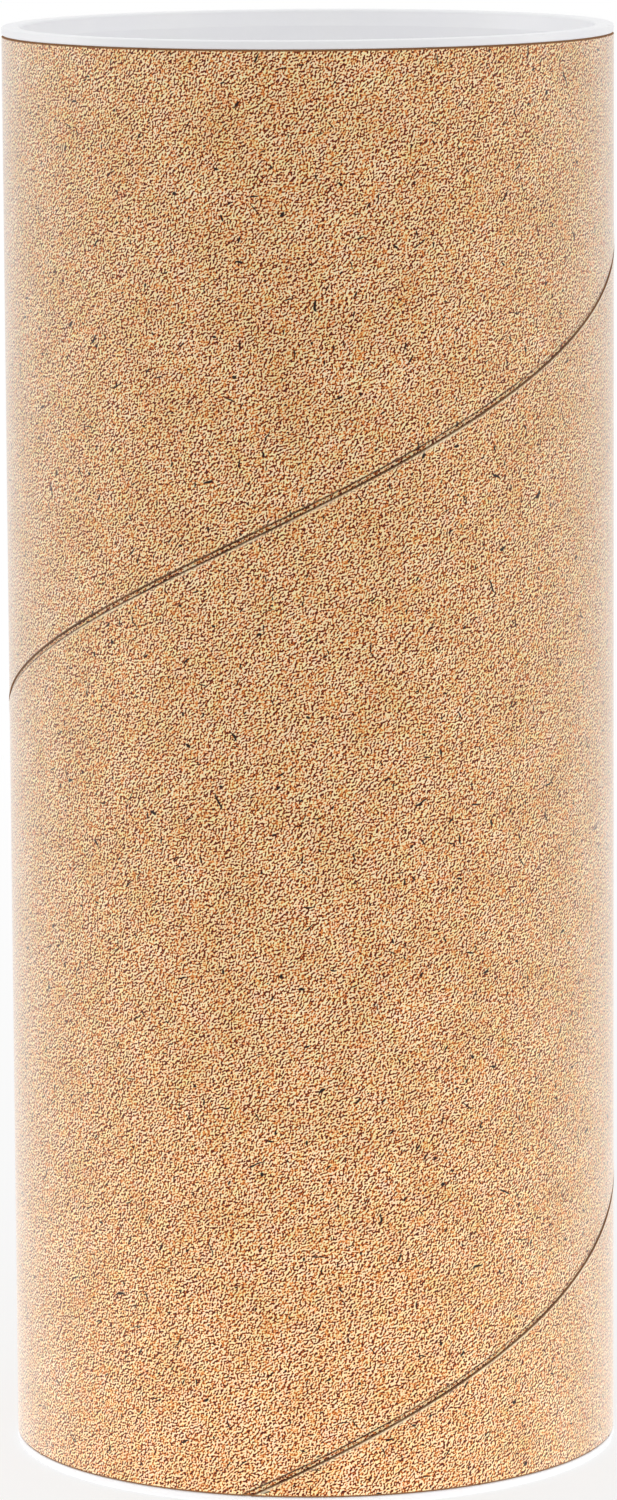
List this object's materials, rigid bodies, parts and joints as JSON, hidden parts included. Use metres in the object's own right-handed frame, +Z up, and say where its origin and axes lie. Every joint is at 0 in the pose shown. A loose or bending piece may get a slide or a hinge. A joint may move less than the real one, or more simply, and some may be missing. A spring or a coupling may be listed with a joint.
{
  "type": "cardboard mailing tube",
  "caption": "Spiral-wound kraft cardboard mailing tube closed at both ends by white push-in plastic caps, standing upright on its lower cap.",
  "frame": {"origin": "middle of the underside of the lower cap, where the tube stands", "axes": "+Z up along the tube's axis; -Y towards the picture's viewpoint, +X to the viewer's right"},
  "size_m": [0.0666, 0.0666, 0.1568],
  "materials": {
    "kraft_board": "matte",
    "white_plastic": "satin"
  },
  "bodies": {
    "bottom_cap": {"bottom_cap": "white_plastic"},
    "tube": {"tube": "kraft_board"},
    "top_cap": {"top_cap": "white_plastic"}
  },
  "joints": [
    {"name": "tube_lift", "type": "slide", "parent": "bottom_cap", "child": "tube", "axis": [0, 0, 1], "range_m": [0, 0.05]},
    {"name": "top_cap_pull", "type": "slide", "parent": "tube", "child": "top_cap", "axis": [0, 0, 1], "range_m": [0, 0.05]}
  ]
}
